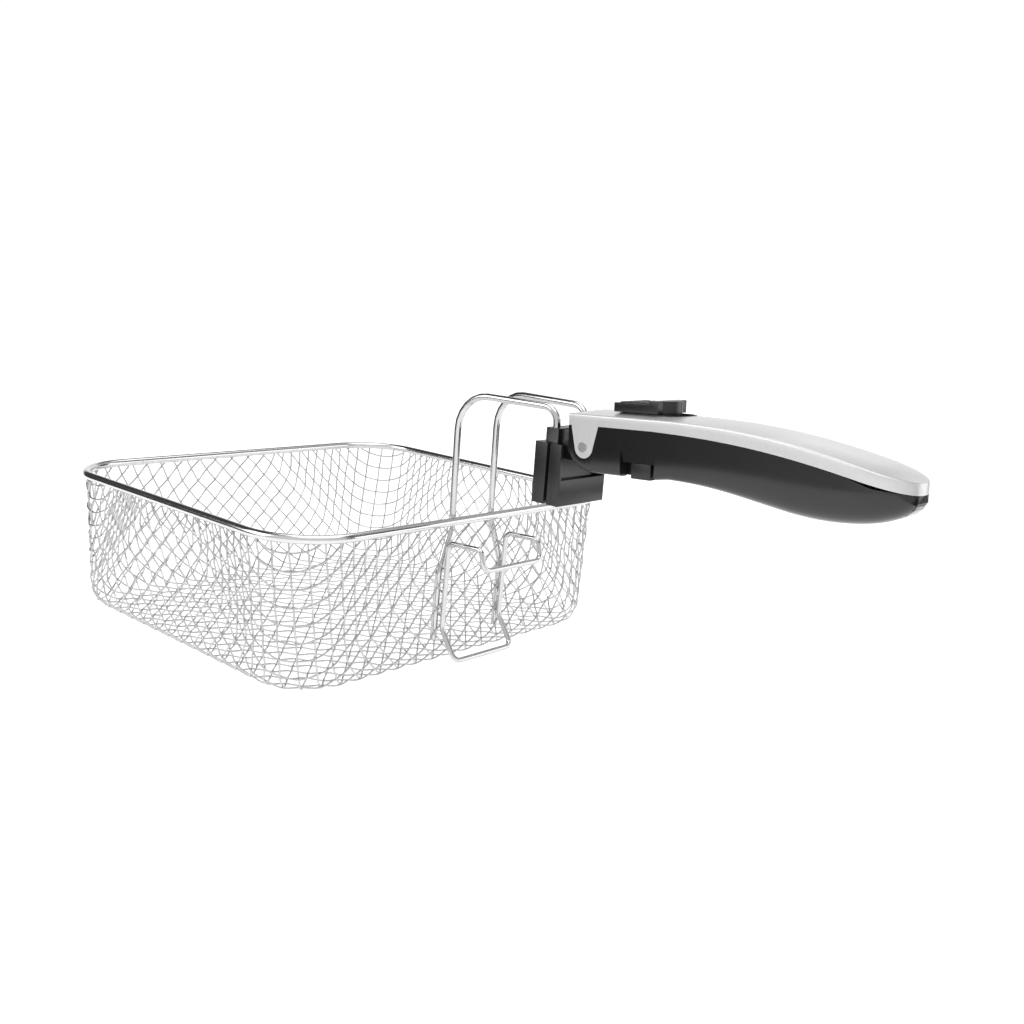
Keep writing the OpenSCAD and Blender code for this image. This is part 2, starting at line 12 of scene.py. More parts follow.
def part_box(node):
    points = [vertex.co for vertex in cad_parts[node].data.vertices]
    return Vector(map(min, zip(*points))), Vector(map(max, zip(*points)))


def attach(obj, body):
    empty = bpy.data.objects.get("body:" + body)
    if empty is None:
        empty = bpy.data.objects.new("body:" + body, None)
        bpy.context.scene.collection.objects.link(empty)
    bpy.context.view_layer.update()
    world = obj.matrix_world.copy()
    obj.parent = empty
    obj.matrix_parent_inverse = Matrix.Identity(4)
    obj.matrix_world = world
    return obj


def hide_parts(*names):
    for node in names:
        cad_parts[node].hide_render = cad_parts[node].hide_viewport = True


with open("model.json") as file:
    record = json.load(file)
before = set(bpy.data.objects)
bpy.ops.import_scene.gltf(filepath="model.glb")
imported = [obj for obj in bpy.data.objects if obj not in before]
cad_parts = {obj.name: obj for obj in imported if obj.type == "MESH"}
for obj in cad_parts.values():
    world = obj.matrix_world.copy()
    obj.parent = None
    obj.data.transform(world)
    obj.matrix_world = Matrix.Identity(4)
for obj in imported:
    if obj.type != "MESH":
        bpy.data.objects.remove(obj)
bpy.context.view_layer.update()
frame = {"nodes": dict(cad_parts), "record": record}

MM = 0.001
VIEW_AZIMUTH = math.radians(41.45)
VIEW_ELEVATION = math.radians(11.92)
VIEW_ROLL = math.radians(4.19)
CAMERA_AT = (0.4774, -0.3955, 0.1951)
CAMERA_LENS = 38.35
TO_CAMERA = Vector((
    math.sin(VIEW_AZIMUTH) * math.cos(VIEW_ELEVATION),
    -math.cos(VIEW_AZIMUTH) * math.cos(VIEW_ELEVATION),
    math.sin(VIEW_ELEVATION),
))


# ---- Camera, light and floor --------------------------------------------------------------------

def make_camera():
    """The studio camera: a little above the rim, out past the handle's end and on its -Y side."""
    level = Vector((0, 0, 1)).cross(TO_CAMERA).normalized()
    above = TO_CAMERA.cross(level)
    right = level * math.cos(VIEW_ROLL) + above * math.sin(VIEW_ROLL)
    up = above * math.cos(VIEW_ROLL) - level * math.sin(VIEW_ROLL)
    data = bpy.data.cameras.new("studio_camera")
    data.sensor_width = 36
    data.lens = CAMERA_LENS
    data.clip_start = 0.01
    data.clip_end = 50
    camera = bpy.data.objects.new("studio_camera", data)
    bpy.context.collection.objects.link(camera)
    turn = Matrix((right, up, TO_CAMERA)).transposed().to_4x4()
    camera.matrix_world = Matrix.Translation(CAMERA_AT) @ turn
    bpy.context.scene.camera = camera


def area_light(name, place, aim, size, power):
    data = bpy.data.lights.new(name, "AREA")
    data.shape = "RECTANGLE"
    data.size, data.size_y = size
    data.energy = power
    light = bpy.data.objects.new(name, data)
    bpy.context.collection.objects.link(light)
    light.location = place
    light.rotation_mode = "QUATERNION"
    light.rotation_quaternion = (Vector(aim) - Vector(place)).to_track_quat("-Z", "Y")


# Brightness of the room by direction: 0 is towards the camera and 1 is straight away from it.
ROOM_STOPS = ((0.0, 0.9), (0.30, 0.75), (0.42, 0.05), (0.82, 0.05), (0.89, 1.0), (1.0, 1.0))
ROOM_STRENGTH = 1.02

# Name, place, what it points at, size and power of each softbox.
SOFTBOXES = (
    ("top_softbox", (0.15, 0.1, 1.2), (0.1, 0, 0.05), (1.4, 1.0), 9),
    ("left_softbox", (-0.6, -1.1, 0.7), (0.1, 0, 0.08), (0.9, 0.9), 8),
    ("right_softbox", (1.1, 1.15, 0.3), (0.15, 0, 0.08), (1.1, 0.9), 6),
    ("back_softbox", (0.25, 1.3, 1.1), (0.05, 0, 0.08), (1.6, 1.0), 2.5),
)


def make_studio():
    """White behind the object, a dark ring of room round that, and four softboxes."""
    scene = bpy.context.scene
    scene.view_settings.view_transform = "Standard"
    world = bpy.data.worlds.new("studio")
    world.use_nodes = True
    scene.world = world
    nodes, links = world.node_tree.nodes, world.node_tree.links
    nodes.clear()
    out = nodes.new("ShaderNodeOutputWorld")
    lit = nodes.new("ShaderNodeBackground")
    direction = nodes.new("ShaderNodeTexCoord")
    dot = nodes.new("ShaderNodeVectorMath")
    dot.operation = "DOT_PRODUCT"
    dot.inputs[1].default_value = -TO_CAMERA
    ramp = nodes.new("ShaderNodeValToRGB")
    for place, _ in ROOM_STOPS[1:-1]:
        ramp.color_ramp.elements.new(place)
    for element, (place, value) in zip(ramp.color_ramp.elements, ROOM_STOPS):
        element.position = place
        element.color = (value, value, value, 1)
    links.new(direction.outputs["Generated"], dot.inputs[0])
    links.new(spread(nodes, links, dot.outputs["Value"], 0, 1, low_in=-1), ramp.inputs["Fac"])
    links.new(ramp.outputs["Color"], lit.inputs["Color"])
    lit.inputs["Strength"].default_value = ROOM_STRENGTH
    links.new(lit.outputs["Background"], out.inputs["Surface"])
    for softbox in SOFTBOXES:
        area_light(*softbox)


FLOOR_W = 0.85
FLOOR_L = 3.0
FLOOR_MIDDLE = (0.03, 0.027, 0)
FLOOR_GLOW = 0.92


def make_floor():
    """A white paper strip that runs away from the camera under the object."""
    bpy.ops.mesh.primitive_plane_add(size=1, location=FLOOR_MIDDLE)
    floor = bpy.context.object
    floor.name = "studio_floor"
    floor.scale = (FLOOR_W, FLOOR_L, 1)
    floor.rotation_euler = (0, 0, VIEW_AZIMUTH)
    material, shader, _, _ = new_material("floor_white")
    shader.inputs["Base Color"].default_value = (0.5, 0.5, 0.5, 1)
    shader.inputs["Roughness"].default_value = 0.7
    shader.inputs["Specular IOR Level"].default_value = 0.1
    shader.inputs["Emission Color"].default_value = (1, 1, 1, 1)
    shader.inputs["Emission Strength"].default_value = FLOOR_GLOW
    floor.data.materials.append(material)


# ---- Materials ----------------------------------------------------------------------------------

def new_material(name):
    material = bpy.data.materials.new(name)
    material.use_nodes = True
    nodes, links = material.node_tree.nodes, material.node_tree.links
    return material, nodes["Principled BSDF"], nodes, links


def noise(nodes, links, scale, detail=3.0, stretch=(1, 1, 1)):
    place = nodes.new("ShaderNodeTexCoord")
    fit = nodes.new("ShaderNodeMapping")
    fit.inputs["Scale"].default_value = stretch
    texture = nodes.new("ShaderNodeTexNoise")
    texture.inputs["Scale"].default_value = scale
    texture.inputs["Detail"].default_value = detail
    links.new(place.outputs["Object"], fit.inputs["Vector"])
    links.new(fit.outputs["Vector"], texture.inputs["Vector"])
    return texture.outputs["Fac"]


def spread(nodes, links, fac, low, high, low_in=0):
    """Maps a value from low_in to 1 onto low to high."""
    span = nodes.new("ShaderNodeMapRange")
    span.inputs["From Min"].default_value = low_in
    span.inputs["To Min"].default_value = low
    span.inputs["To Max"].default_value = high
    links.new(fac, span.inputs["Value"])
    return span.outputs["Result"]


def tint(nodes, links, fac, dark, light):
    mix = nodes.new("ShaderNodeMix")
    mix.data_type = "RGBA"
    mix.inputs["A"].default_value = (*dark, 1)
    mix.inputs["B"].default_value = (*light, 1)
    links.new(fac, mix.inputs["Factor"])
    return mix.outputs["Result"]


def bump(nodes, links, shader, height, strength, distance):
    node = nodes.new("ShaderNodeBump")
    node.inputs["Strength"].default_value = strength
    node.inputs["Distance"].default_value = distance
    links.new(height, node.inputs["Height"])
    links.new(node.outputs["Normal"], shader.inputs["Normal"])


def surface(name, dark, light, rough, grain, metallic=0.0, coat=0.0, relief=0.1, depth=0.0001,
            stretch=(1, 1, 1)):
    """A finish with mottled colour, uneven gloss and a fine relief."""
    material, shader, nodes, links = new_material(name)
    cloud = noise(nodes, links, grain / 6, 4.0, stretch)
    fine = noise(nodes, links, grain, 3.0, stretch)
    links.new(tint(nodes, links, cloud, dark, light), shader.inputs["Base Color"])
    links.new(spread(nodes, links, fine, *rough), shader.inputs["Roughness"])
    shader.inputs["Metallic"].default_value = metallic
    shader.inputs["Coat Weight"].default_value = coat
    shader.inputs["Coat Roughness"].default_value = 0.08
    bump(nodes, links, shader, fine, relief, depth)
    return material


def grey(value, blue=0.0):
    return (value, value, value * (1 + blue))


def make_materials():
    return {
        "mesh_wire": surface("mesh_wire", grey(0.44), grey(0.56), (0.22, 0.34), 900, 1.0),
        "steel_wire": surface("steel_wire", grey(0.50), grey(0.62), (0.12, 0.2), 700, 1.0),
        "polished_rim": surface("polished_rim", grey(0.58), grey(0.68), (0.12, 0.2), 600, 1.0),
        "black_plastic": surface("black_plastic", grey(0.008), grey(0.013), (0.24, 0.34), 1800,
                                 relief=0.12),
        "grip_black": surface("grip_black", grey(0.02), grey(0.035), (0.42, 0.55), 2600, relief=0.5),
        "gloss_black": surface("gloss_black", grey(0.006), grey(0.010), (0.12, 0.18), 500, coat=0.1,
                               relief=0.02),
        "silver_cover": surface("silver_cover", grey(0.58), grey(0.64), (0.30, 0.38), 4200, 0.55,
                                coat=0.25, relief=0.10, depth=0.00004),
        "fastener_steel": surface("fastener_steel", grey(0.66), grey(0.76), (0.2, 0.3), 1500, 1.0,
                                  stretch=(1, 6, 1)),
        "spring_steel": surface("spring_steel", grey(0.40), grey(0.50), (0.2, 0.3), 1500, 1.0),
    }


# ---- Mesh helpers -------------------------------------------------------------------------------

def add_object(name, vertices, faces, material, body, replaces=(), smooth=True):
    mesh = bpy.data.meshes.new(name)
    mesh.from_pydata([tuple(v) for v in vertices], [], [tuple(f) for f in faces])
    mesh.update()
    piece = bpy.data.objects.new(name, mesh)
    bpy.context.collection.objects.link(piece)
    mesh.materials.append(material)
    for polygon in mesh.polygons:
        polygon.use_smooth = smooth
    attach(piece, body)
    if replaces:
        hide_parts(*replaces)
    return piece


def unit(v):
    v = np.asarray(v, float)
    return v / np.linalg.norm(v)


def tube(line, radius, sides=10, closed=False):
    """Vertices and faces of a round tube along a line, with the least twist."""
    line = np.asarray(line, float)
    count = len(line)
    if closed:
        tangents = np.roll(line, -1, 0) - np.roll(line, 1, 0)
    else:
        tangents = np.gradient(line, axis=0)
    tangents /= np.linalg.norm(tangents, axis=1)[:, None]
    axis = np.eye(3)[np.argmin(np.abs(tangents[0]))]
    normal = unit(axis - axis @ tangents[0] * tangents[0])
    normals = []
    for t in tangents:
        normal = unit(normal - normal @ t * t)
        normals.append(normal)
    normals = np.array(normals)
    if closed:
        first, last = normals[0], unit(normals[-1] - normals[-1] @ tangents[0] * tangents[0])
        gap = math.atan2(np.cross(last, first) @ tangents[0], last @ first)
        for i in range(count):
            a = gap * i / count
            n, t = normals[i], tangents[i]
            normals[i] = n * math.cos(a) + np.cross(t, n) * math.sin(a)
    sideways = np.cross(tangents, normals)
    angles = 2 * math.pi * np.arange(sides) / sides
    rings = (line[:, None] + radius * (normals[:, None] * np.cos(angles)[None, :, None]
             + sideways[:, None] * np.sin(angles)[None, :, None]))
    vertices = rings.reshape(-1, 3)
    faces = []
    for i in range(count if closed else count - 1):
        a, b = i * sides, (i + 1) % count * sides
        for j in range(sides):
            k = (j + 1) % sides
            faces.append((a + j, a + k, b + k, b + j))
    if not closed:
        faces.append(tuple(range(sides - 1, -1, -1)))
        faces.append(tuple(range((count - 1) * sides, count * sides)))
    return vertices, faces


def joined(parts):
    vertices, faces, start = [], [], 0
    for part_vertices, part_faces in parts:
        vertices.append(np.asarray(part_vertices))
        faces += [tuple(start + i for i in face) for face in part_faces]
        start += len(part_vertices)
    return np.concatenate(vertices), faces


def filled(line, longest):
    """Adds points so that no stretch is longer than the given length."""
    dense = [line[0]]
    for a, b in zip(line, line[1:]):
        parts = max(1, math.ceil(np.linalg.norm(b - a) / longest))
        dense += [a + (b - a) * i / parts for i in range(1, parts + 1)]
    return np.array(dense)


# ---- Woven basket -------------------------------------------------------------------------------

mesh_low, mesh_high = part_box("mesh_basket")
rim_low, rim_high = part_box("rim_band")
RIM_R = (rim_high[2] - rim_low[2]) / 2
RIM_Z = rim_high[2] - RIM_R
WALL_X = rim_high[0] - RIM_R
WALL_Y = rim_high[1] - RIM_R
CORNER_R = 34 * MM
FLOOR_INSET = 2 * MM
FLOOR_R = 12 * MM
MESH_WIRE_D = 0.95 * MM
MESH_PITCH = 8.6 * MM
MESH_Z = MESH_WIRE_D
MESH_SIDES = 6
WEAVE_SWING = 0.48
MESH_TOP = RIM_Z - 0.2 * RIM_R
RIM_SEAM_Z = RIM_Z - 0.86 * RIM_R
RIM_SIDES = 20
CORNER_STEPS = 12


class Tub:
    """The middle surface of the mesh: a rounded tub with slightly leaning walls."""

    def __init__(self):
        self.edge = CORNER_R - FLOOR_INSET - FLOOR_R
        self.middle = np.array([self.edge, MESH_Z + FLOOR_R])
        lean = math.atan(FLOOR_INSET / (RIM_Z - FLOOR_R))
        self.normal = np.array([math.cos(lean), -math.sin(lean)])
        self.foot = self.middle + FLOOR_R * self.normal

    def distance(self, p):
        """How far p is outside the surface, and the direction straight out."""
        corner = np.array([WALL_X - CORNER_R, WALL_Y - CORNER_R])
        over = np.maximum(np.abs(p[:2]) - corner, 0)
        rho = np.linalg.norm(over)
        out = np.zeros(3)
        if rho > 1e-9:
            out[:2] = over / rho * np.sign(p[:2])
        at = np.array([rho, p[2]])
        if rho <= self.edge:
            return MESH_Z - p[2], np.array([0, 0, -1.0])
        if (at - self.foot) @ np.array([-self.normal[1], self.normal[0]]) > 0:
            flat = self.normal
            gap = (at - self.foot) @ flat
        else:
            flat = unit(at - self.middle)
            gap = np.linalg.norm(at - self.middle) - FLOOR_R
        return gap, flat[0] * out + np.array([0, 0, flat[1]])

    def settle(self, p):
        for _ in range(4):
            gap, out = self.distance(p)
            p = p - gap * out
        return p


TUB = Tub()


def next_knot(a, b, guess):
    """The knot one pitch from both neighbours, on the tub."""
    p = TUB.settle(guess)
    for _ in range(12):
        gap, out = TUB.distance(p)
        wrong = np.array([(p - a) @ (p - a) - MESH_PITCH ** 2,
                          (p - b) @ (p - b) - MESH_PITCH ** 2, gap])
        slope = np.array([2 * (p - a), 2 * (p - b), out])
        move = np.linalg.lstsq(slope, -wrong, rcond=1e-4)[0]
        length = np.linalg.norm(move)
        if length > MESH_PITCH / 2:
            move *= MESH_PITCH / 2 / length
        p = p + move
        if length < 1e-9:
            break
    return p


def straight_on(a, b):
    """The knot one pitch past b, going straight on over the tub."""
    heading = b - a
    _, out = TUB.distance(b)
    heading = unit(heading - heading @ out * out)
    p = b + heading * MESH_PITCH
    for _ in range(6):
        p = TUB.settle(p)
        p = b + unit(p - b) * MESH_PITCH
    return p


def drape_net():
    """Knots of a square net laid at 45 degrees on the floor and pressed up the walls.

    From each corner of the floor one wire runs straight up the corner. The knots between two
    of these wires follow from their neighbours, so every wire keeps its spacing and only shears.
    """
    diagonal = math.sqrt(0.5)
    reach = int((WALL_X + WALL_Y + 2 * RIM_Z) / MESH_PITCH / diagonal / 2) + 6
    knots = {}

    def flat(i, j):
        x = (i + j + 1) * diagonal * MESH_PITCH
        y = (i - j) * diagonal * MESH_PITCH
        return np.array([x, y, MESH_Z])

    def on_floor(p):
        over = np.maximum(np.abs(p[:2]) - (WALL_X - CORNER_R, WALL_Y - CORNER_R), 0)
        return np.linalg.norm(over) <= TUB.edge

    for quadrant in range(4):
        def key(m, n):
            return [(m, n), (-n - 1, m), (-m - 1, -n - 1), (n, -m - 1)][quadrant]

        def place(m, n):
            k = key(m, n)
            if k in knots:
                return
            p = flat(*k)
            if on_floor(p):
                knots[k] = p
                return
            side, back = knots.get(key(m - 1, n)), knots.get(key(m, n - 1))
            if n == -1:
                knots[k] = straight_on(knots[key(m - 2, n)], knots[key(m - 1, n)])
                return
            if m == -1:
                knots[k] = straight_on(knots[key(m, n - 2)], knots[key(m, n - 1)])
                return
            knots[k] = next_knot(side, back, side + back - knots[key(m - 1, n - 1)])

        for m in range(-1, reach):
            for n in range(-1, reach):
                place(m, n)
    return knots, reach


def woven_wire(knots, keys, over_first):
    """The wavy centre lines of one wire, cut where it goes into the rim."""
    run, runs = [], []
    for index, k in enumerate(keys):
        p = knots.get(k)
        inside = p is not None and p[2] < MESH_TOP + MESH_PITCH
        if inside:
            run.append((p, 1 if (index + over_first) % 2 else -1))
        elif run:
            runs.append(run)
            run = []
    if run:
        runs.append(run)
    lines = []
    for run in runs:
        if len(run) < 2:
            continue
        points = [p for p, _ in run]
        line = []
        for i in range(len(run) - 1):
            p0, p1, p2, p3 = (points[max(i - 1, 0)], points[i], points[i + 1],
                              points[min(i + 2, len(points) - 1)])
            for t in np.arange(0, 1, 0.2):
                at = 0.5 * (2 * p1 + (p2 - p0) * t + (2 * p0 - 5 * p1 + 4 * p2 - p3) * t * t
                            + (3 * p1 - p0 - 3 * p2 + p3) * t ** 3)
                _, out = TUB.distance(at)
                at = TUB.settle(at)
                wave = run[i][1] * math.cos(math.pi * t)
                line.append(at + out * wave * MESH_WIRE_D * WEAVE_SWING)
        line.append(points[-1])
        lines.append(np.array(line))
    return [piece for line in lines for piece in cut_above(line, MESH_TOP)]


def cut_above(line, top):
    """Keeps the stretches of a line below a height, ending exactly at it."""
    kept, pieces = [], []
    for i, p in enumerate(line):
        below = p[2] <= top
        if i and below != (line[i - 1][2] <= top):
            a, b = line[i - 1], p
            kept.append(a + (b - a) * (top - a[2]) / (b[2] - a[2]))
            if not below:
                pieces.append(np.array(kept))
                kept = []
        if below:
            kept.append(p)
    if kept:
        pieces.append(np.array(kept))
    return [piece for piece in pieces if len(piece) > 2]


def make_woven_basket(materials):
    knots, reach = drape_net()
    parts = []
    span = range(-reach - 1, reach + 1)
    for i in span:
        for line in woven_wire(knots, [(i, j) for j in span], i % 2):
            parts.append(tube(line, MESH_WIRE_D / 2, MESH_SIDES))
    for j in span:
        for line in woven_wire(knots, [(i, j) for i in span], (j + 1) % 2):
            parts.append(tube(line, MESH_WIRE_D / 2, MESH_SIDES))
    vertices, faces = joined(parts)
    add_object("woven_mesh", vertices, faces, materials["mesh_wire"], "basket",
               ["mesh_basket"])


def make_rim(materials):
    """The rolled rim: a smooth tube round the basket with a flattened seam underneath."""
    straight_x, straight_y = WALL_X - CORNER_R, WALL_Y - CORNER_R
    line = []
    for quarter, (sx, sy) in enumerate(((1, 1), (-1, 1), (-1, -1), (1, -1))):
        for step in range(CORNER_STEPS + 1):
            a = math.radians(90 * quarter + 90 * step / CORNER_STEPS)
            line.append(np.array([sx * straight_x + CORNER_R * math.cos(a),
                                  sy * straight_y + CORNER_R * math.sin(a), RIM_Z]))
    line = filled(line + line[:1], 0.012)[:-1]
    vertices, faces = tube(line, RIM_R, RIM_SIDES, closed=True)
    vertices[:, 2] = np.maximum(vertices[:, 2], RIM_SEAM_Z)
    add_object("rolled_rim", vertices, faces, materials["polished_rim"], "basket",
               ["rim_band"])


# ---- Handle, in millimetres from the pin: along, across and up ----------------------------------

JOINTS = {joint["name"]: joint for joint in frame["record"]["behaviour"]["joints"]}
PIN = np.array(JOINTS["handle_fold"]["pos_m"])
ALONG = np.array(JOINTS["latch_slide"]["axis"])
ACROSS = np.array([0.0, 1.0, 0.0])
UPWARD = np.cross(ALONG, ACROSS)
shell_low, shell_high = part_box("handle_lower_shell")
HALF_W = (shell_high[1] - shell_low[1]) / MM / 2
HANDLE_L = 147
NOSE = -9.4
PARTING = 9.6
TOP = 14.6
CROWN = 1.5
HEEL = -10.2
BELLY = -19.8
UNDER = -11
CHEEK_IN = 11.3
SLOT_END = 25
NOSE_ROUND = 6
CATCH_BACK = 38
CATCH_TOP = -4.5
EAR_R = 5
EAR_T = 1.6
EAR_PLAY = 0.15
WALL = 2.0
FAR = 30
SCREW_HOLES = ((72, -9.6), (100, -14.8), (128, -15.4))
SCREW_HEAD_R = 2.8


def to_frame(points):
    """Takes handle millimetres (along, across, up, from the pin) to the frame."""
    points = np.asarray(points, float) * MM
    return PIN + points[:, :1] * ALONG + points[:, 1:2] * ACROSS + points[:, 2:] * UPWARD


def bezier(points, steps=40):
    p = np.asarray(points, float)
    t = np.linspace(0, 1, steps + 1)[:, None]
    return ((1 - t) ** 3 * p[0] + 3 * t * (1 - t) ** 2 * p[1]
            + 3 * t * t * (1 - t) * p[2] + t ** 3 * p[3])


PARTING_CURVE = bezier([(34, PARTING), (72, PARTING - 1), (100, 5.7), (HANDLE_L, -6.5)])
TOP_CURVE = bezier([(34, TOP), (75, TOP), (105, 11), (HANDLE_L, -2)])
UNDER_CURVE = bezier([(44, HEEL), (75, HEEL - 0.6), (92, BELLY), (116, BELLY)])
END_CURVE = bezier([(116, BELLY), (135, BELLY), (HANDLE_L, -15), (HANDLE_L, -6.5)])


def parting_at(x):
    return np.interp(x, *PARTING_CURVE.T)


def top_at(x):
    return np.interp(x, *TOP_CURVE.T)


def bottom_at(x):
    """The underside: a round nose, a flat stretch by the catch, the belly and the round end."""
    if x < NOSE_ROUND:
        return UNDER * math.sqrt(max(0, 1 - ((x - NOSE_ROUND) / (NOSE_ROUND - NOSE)) ** 2))
    flat = [(NOSE_ROUND, UNDER), (CATCH_BACK, UNDER)]
    line = np.concatenate([flat, UNDER_CURVE, END_CURVE[1:]])
    return np.interp(x, *line.T)


def stations(inset=0.0):
    """Places along the handle with the half width of its plan there, close together at the ends."""
    front, rear, front_power, rear_power = 1.6, 21.0, 6.0, 2.2
    width = HALF_W - inset
    rows = []
    for a in np.radians([10, 25, 40, 55, 70, 80]):
        rows.append((NOSE + inset + front * (1 - math.cos(a) ** (2 / front_power)),
                     width * math.sin(a) ** (2 / front_power)))
    start = rows[-1][0]
    end = HANDLE_L - inset - rear
    for x in np.linspace(start, end, 44)[1:]:
        rows.append((x, width))
    for a in np.radians([84, 78, 72, 66, 60, 54, 48, 42, 36, 30, 24, 18, 12, 7, 3]):
        rows.append((end + rear * math.cos(a) ** (2 / rear_power),
                     width * math.sin(a) ** (2 / rear_power)))
    return rows


def skin(sections):
    """Faces over closed sections of equal count, with both ends capped."""
    count = len(sections[0])
    vertices = np.concatenate(sections)
    faces = [tuple(range(count))]
    for i in range(len(sections) - 1):
        a, b = i * count, (i + 1) * count
        faces += [(a + j, b + j, b + (j + 1) % count, a + (j + 1) % count) for j in range(count)]
    last = (len(sections) - 1) * count
    faces.append(tuple(range(last + count - 1, last - 1, -1)))
    return vertices, faces


def cover_loft(inset=0.0, drop=0.0, deep=0.0):
    """The cover: upright sides, a small round at the edge and a crowned top."""
    edge_r = 0.8
    sections = []
    for x, w in stations(inset):
        low, top = parting_at(x) - deep, top_at(x) - drop
        r = min(edge_r, 0.6 * w)
        ends = max(0.0, min(1.0, (x - NOSE) / 9, (HANDLE_L - x) / 16))
        crown = CROWN * math.sin(ends * math.pi / 2)
        half = [(w, low), (w, (low + top - r) / 2)]
        for a in np.radians([0, 22.5, 45, 67.5, 90]):
            half.append((w - r + r * math.cos(a), top - r + r * math.sin(a)))
        reach = w - r
        for f in (0.8, 0.6, 0.4, 0.2):
            half.append((reach * f, top + crown * (1 - f * f) * min(1, (reach / HALF_W) ** 2 * 1.2)))
        peak = (0.0, top + crown * min(1, (reach / HALF_W) ** 2 * 1.2))
        ring = half + [peak] + [(-y, z) for y, z in reversed(half)]
        sections.append(np.array([(x, y, z) for y, z in ring]))
    return skin(sections)


def shell_loft(inset=0.0, raise_by=0.0, high=0.0):
    """The lower shell: upright sides that round into the underside, more so towards the belly."""
    sections = []
    for x, w in stations(inset):
        gap = 0.15 + 1.1 * max(0.0, 1 - abs(x - 133) / 10)
        top = parting_at(x) - gap + high
        low = min(bottom_at(x) + raise_by, top - 0.4)
        r = float(np.interp(x, [10, 50, 90, 130], [1.5, 2.5, 8, 11]))
        r = max(0.1, min(r, 0.9 * w, 0.9 * (top - low)))
        half = [(w, top), (w, (top + low + r) / 2)]
        for a in np.radians([0, 15, 30, 45, 60, 75, 90]):
            half.append((w - r + r * math.cos(a), low + r - r * math.sin(a)))
        half.append(((w - r) / 2, low))
        ring = [(-y, z) for y, z in reversed(half)]
        sections.append(np.array([(x, y, z) for y, z in half + ring]))
    vertices, faces = skin(sections)
    return vertices, [tuple(reversed(face)) for face in faces]


def prism(outline, low, high, upright):
    """A closed prism: an outline in plan raised up, or a side view carried across the handle."""
    vertices = []
    for level in (low, high):
        for a, b in outline:
            vertices.append((a, b, level) if upright else (a, level, b))
    n = len(outline)
    faces = [(i, (i + 1) % n, n + (i + 1) % n, n + i) for i in range(n)]
    faces += [tuple(range(n - 1, -1, -1)), tuple(range(n, 2 * n))]
    if not upright:
        faces = [tuple(reversed(face)) for face in faces]
    return np.array(vertices, float), faces


def circle(x, z, r, count=32):
    return [(x + r * math.cos(2 * math.pi * i / count), z + r * math.sin(2 * math.pi * i / count))
            for i in range(count)]


def ear_outline(margin=0.0):
    """The hinge ear: a round eye whose sides open out to the cover."""
    ear_r = EAR_R + margin
    points = [(7.8 + margin, PARTING + 2), (7.8 + margin, PARTING)]
    for a in np.radians(np.arange(-18, -181, -12)):
        points.append((ear_r * math.cos(a), ear_r * math.sin(a)))
    points += [(-7.1 - margin, PARTING), (-7.1 - margin, PARTING + 2)]
    return list(reversed(points))


def slot_outline():
    """Plan of the button's opening in the cover: straight at the front, round at the back."""
    front, back, r = 14, 46.2, 9.5
    middle = back - r
    points = [(front, -r), (middle, -r)]
    for a in np.radians(np.arange(-80, 81, 10)):
        points.append((middle + r * math.cos(a), r * math.sin(a)))
    return points + [(middle, r), (front, r)]


def raw(name, vertices, faces):
    mesh = bpy.data.meshes.new(name)
    mesh.from_pydata([tuple(v) for v in to_frame(vertices)], [], faces)
    shape = bmesh.new()
    shape.from_mesh(mesh)
    bmesh.ops.remove_doubles(shape, verts=shape.verts, dist=1e-7)
    bmesh.ops.recalc_face_normals(shape, faces=shape.faces)
    shape.to_mesh(mesh)
    shape.free()
    piece = bpy.data.objects.new(name, mesh)
    bpy.context.collection.objects.link(piece)
    return piece


def carve(piece, cutter, operation="DIFFERENCE"):
    """Applies one boolean to a piece and deletes the cutter."""
    modifier = piece.modifiers.new("carve", "BOOLEAN")
    modifier.object = cutter
    modifier.operation = operation
    modifier.solver = "EXACT"
    apply_modifiers(piece)
    bpy.data.objects.remove(cutter)


def apply_modifiers(piece):
    shaped = bpy.data.meshes.new_from_object(
        piece.evaluated_get(bpy.context.evaluated_depsgraph_get()))
    piece.modifiers.clear()
    piece.data = shaped


SHARP = 38
SHARP_ON_WIRE = 50


def soften(piece, width=0.0, sharp=SHARP):
    """Merges flat faces, bevels the sharp edges and shades the rest smooth."""
    limit = math.radians(sharp)
    shape = bmesh.new()
    shape.from_mesh(piece.data)
    bmesh.ops.remove_doubles(shape, verts=shape.verts, dist=2e-6)
    if width:
        bmesh.ops.dissolve_limit(shape, angle_limit=math.radians(1), verts=shape.verts,
                                 edges=shape.edges)
    shape.to_mesh(piece.data)
    shape.free()
    if width:
        bevel = piece.modifiers.new("bevel", "BEVEL")
        bevel.width = width * MM
        bevel.segments = 3
        bevel.limit_method = "ANGLE"
        bevel.angle_limit = limit
        apply_modifiers(piece)
    shape = bmesh.new()
    shape.from_mesh(piece.data)
    for face in shape.faces:
        face.smooth = True
    for edge in shape.edges:
        edge.smooth = not (len(edge.link_faces) == 2 and edge.calc_face_angle(0) > limit)
    shape.to_mesh(piece.data)
    shape.free()


def finish_piece(piece, material, body, replaces):
    piece.data.materials.clear()
    piece.data.materials.append(material)
    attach(piece, body)
    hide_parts(*replaces)


def make_cover(materials):
    cover = raw("silver_top", *cover_loft())
    for side in (-1, 1):
        inner, outer = sorted((side * (HALF_W - EAR_T), side * HALF_W))
        carve(cover, raw("ear", *prism(ear_outline(), inner, outer, False)), "UNION")
    carve(cover, raw("hollow", *cover_loft(WALL, WALL, FAR)))
    carve(cover, raw("opening", *prism(slot_outline(), 0, 40, True)))
    soften(cover)
    finish_piece(cover, materials["silver_cover"], "handle", ["handle_cover"])


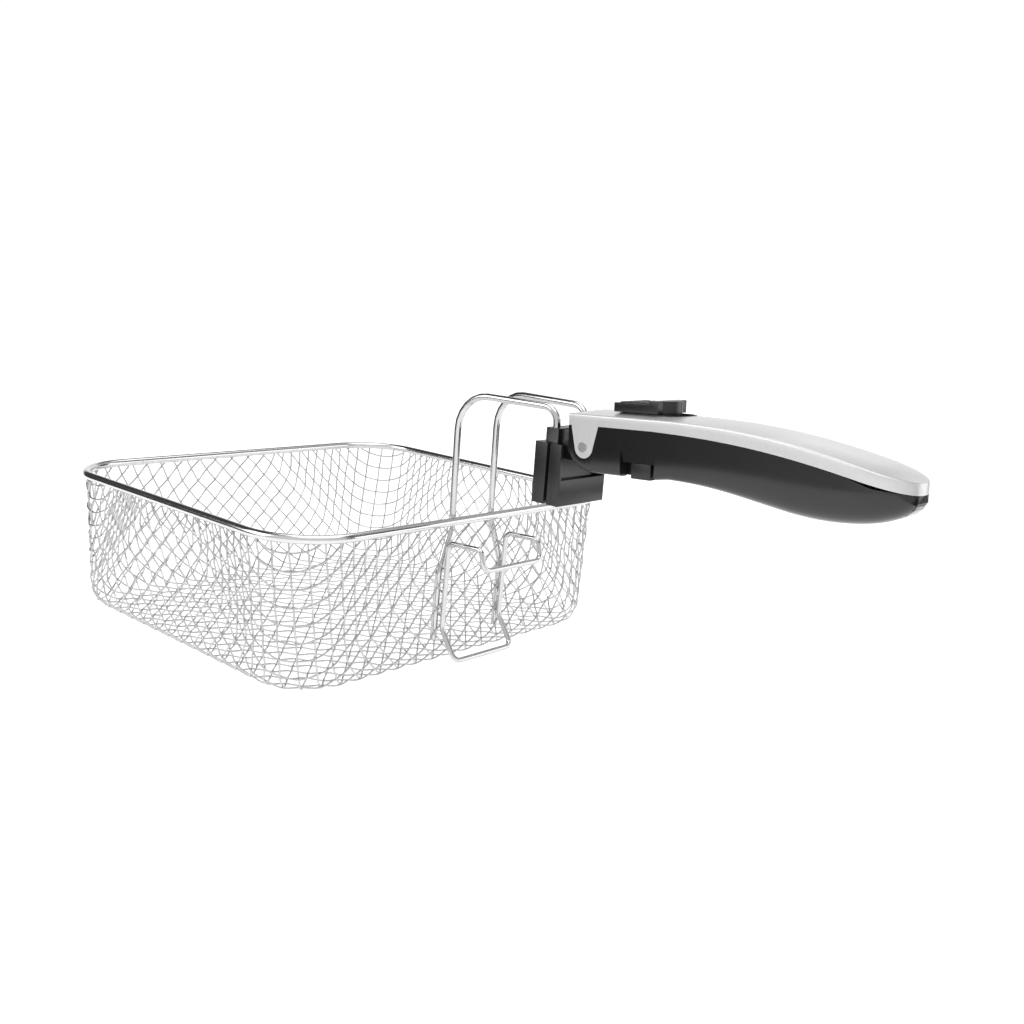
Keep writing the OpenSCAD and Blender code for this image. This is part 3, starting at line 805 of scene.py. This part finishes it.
def make_shell(materials):
    shell = raw("black_shell", *shell_loft())
    carve(shell, raw("hollow", *shell_loft(WALL, WALL, 12)))
    front, rear = NOSE + 0.6, SLOT_END + 2
    cheek = [(front, 9.3), (front, -1), (-6, -6.5), (0, -9.5), (8, HEEL), (rear, HEEL), (rear, 9.3)]
    for side in (-1, 1):
        low, high = sorted((side * CHEEK_IN, side * (HALF_W - 0.3)))
        carve(shell, raw("cheek", *prism(cheek, low, high, False)), "UNION")
    nose_box = [(-20, -FAR), (SLOT_END, -FAR), (SLOT_END, FAR), (-20, FAR)]
    carve(shell, raw("nose_slot", *prism(nose_box, -CHEEK_IN, CHEEK_IN, False)))
    for side in (-1, 1):
        low, high = sorted((side * (HALF_W - EAR_T), side * (HALF_W + 1)))
        carve(shell, raw("ear_seat", *prism(ear_outline(EAR_PLAY), low, high, False)))
    catch = [(20.6, -FAR), (CATCH_BACK, -FAR), (CATCH_BACK, CATCH_TOP), (22, CATCH_TOP),
             (20.6, 0.5), (20.4, -6)]
    carve(shell, raw("catch_cut", *prism(catch, -FAR, FAR, False)))
    for x, head_z in SCREW_HOLES:
        carve(shell, raw("screw_hole", *prism(circle(x, 0, SCREW_HEAD_R), -40, head_z, True)))
    notch = [(HANDLE_L - 4, -4.5), (HANDLE_L + 2, -4.5), (HANDLE_L + 2, 4.5), (HANDLE_L - 4, 4.5)]
    carve(shell, raw("rear_notch", *prism(notch, -10.5, -5, True)))
    soften(shell)
    finish_piece(shell, materials["gloss_black"], "handle", ["handle_lower_shell"])


# ---- Close copies of CAD nodes ------------------------------------------------------------------

# Millimetres that each copy's edges are bevelled by. Wires have no edges and are only smoothed.
SOFT_EDGES = {
    "bracket_block": 0.35,
    "button_cap": 0.35,
    "button_grip": 0.12,
    "button_slot_liner": 0.15,
    "folding_catch": 0.3,
    "support_wire_left": 0.0,
    "support_wire_right": 0.0,
    "drain_hook_wire": 0.0,
}


def soften_nodes(materials):
    """Stands a copy with rounded edges in for each node whose edges catch the light."""
    bodies = frame["record"]["behaviour"]["bodies"]
    slots = {row["node"]: row["material_slot"] for row in frame["record"]["subparts"]}
    for name, width in SOFT_EDGES.items():
        node = frame["nodes"][name]
        piece = bpy.data.objects.new("soft_" + name, node.data.copy())
        bpy.context.collection.objects.link(piece)
        piece.matrix_world = node.matrix_world.copy()
        soften(piece, width, SHARP if width else SHARP_ON_WIRE)
        body = next(key for key, names in bodies.items() if name in names)
        finish_piece(piece, materials[slots[name]], body, [name])


make_camera()
MATERIALS = make_materials()
make_studio()
make_floor()
make_woven_basket(MATERIALS)
make_rim(MATERIALS)
make_cover(MATERIALS)
make_shell(MATERIALS)
soften_nodes(MATERIALS)

# Every CAD node that shows takes its material by slot.
for row in frame["record"]["subparts"]:
    node = frame["nodes"][row["node"]]
    node.data.materials.clear()
    node.data.materials.append(MATERIALS[row["material_slot"]])
